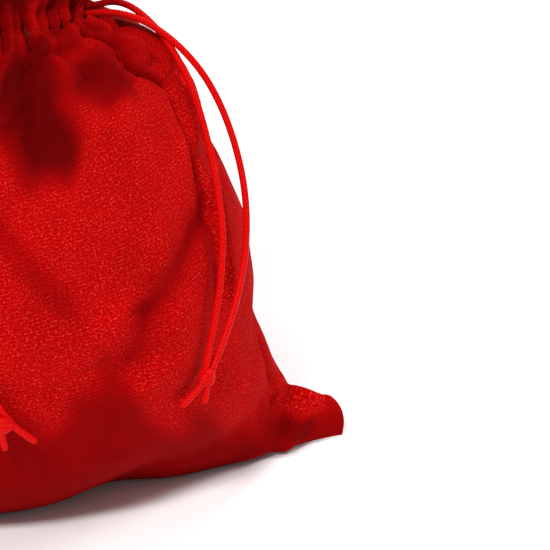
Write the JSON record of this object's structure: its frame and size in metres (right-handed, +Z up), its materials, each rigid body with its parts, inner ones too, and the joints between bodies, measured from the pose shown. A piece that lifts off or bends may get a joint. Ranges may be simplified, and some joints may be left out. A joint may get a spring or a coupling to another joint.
{
  "type": "fabric gift sack",
  "caption": "Stuffed velvet drawstring gift sack with a gathered neck, a ruffled header and knotted satin cords at both sides",
  "frame": {"origin": "middle of the base that the sack stands on", "axes": "+X along the bottom seam to the right corner, -Y to the front, +Z up to the gathered neck"},
  "size_m": [0.2032, 0.1032, 0.19],
  "materials": {
    "velvet": "matte",
    "satin_cord": "satin",
    "thread": "matte"
  },
  "bodies": {
    "sack": {"front_panel": "velvet", "front_casing": "velvet", "front_casing_facing": "velvet", "front_header": "velvet", "front_lower_stitches": "thread", "front_upper_stitches": "thread", "back_panel": "velvet", "back_casing": "velvet", "back_casing_facing": "velvet", "back_header": "velvet", "back_lower_stitches": "thread", "back_upper_stitches": "thread", "bottom_seam_allowance": "velvet", "bottom_seam_thread": "thread", "right_seam_allowance": "velvet", "right_seam_thread": "thread", "right_opening_tack": "thread", "right_cord_round_neck": "satin_cord", "left_seam_allowance": "velvet", "left_seam_thread": "thread", "left_opening_tack": "thread", "left_cord_round_neck": "satin_cord"},
    "right_cord_ends": {"right_cord_ends_in_opening": "satin_cord"},
    "right_loop": {"right_cord_front_leg": "satin_cord", "right_cord_back_leg": "satin_cord", "right_knot": "satin_cord", "right_long_tail": "satin_cord", "right_short_tail": "satin_cord"},
    "left_cord_ends": {"left_cord_ends_in_opening": "satin_cord"},
    "left_loop": {"left_cord_front_leg": "satin_cord", "left_cord_back_leg": "satin_cord", "left_knot": "satin_cord", "left_long_tail": "satin_cord", "left_short_tail": "satin_cord"}
  },
  "joints": [
    {"name": "right_cord_pull", "type": "slide", "parent": "sack", "child": "right_cord_ends", "axis": [1, 0, 0], "range_m": [0, 0.008]},
    {"name": "right_loop_lift", "type": "hinge", "parent": "right_cord_ends", "child": "right_loop", "pos_m": [0.03, 0, 0.1487], "axis": [0, -1, 0], "range_deg": [0, 85]},
    {"name": "left_cord_pull", "type": "slide", "parent": "sack", "child": "left_cord_ends", "axis": [-1, 0, 0], "range_m": [0, 0.008]},
    {"name": "left_loop_lift", "type": "hinge", "parent": "left_cord_ends", "child": "left_loop", "pos_m": [-0.03, 0, 0.1517], "axis": [0, 1, 0], "range_deg": [0, 85]}
  ]
}
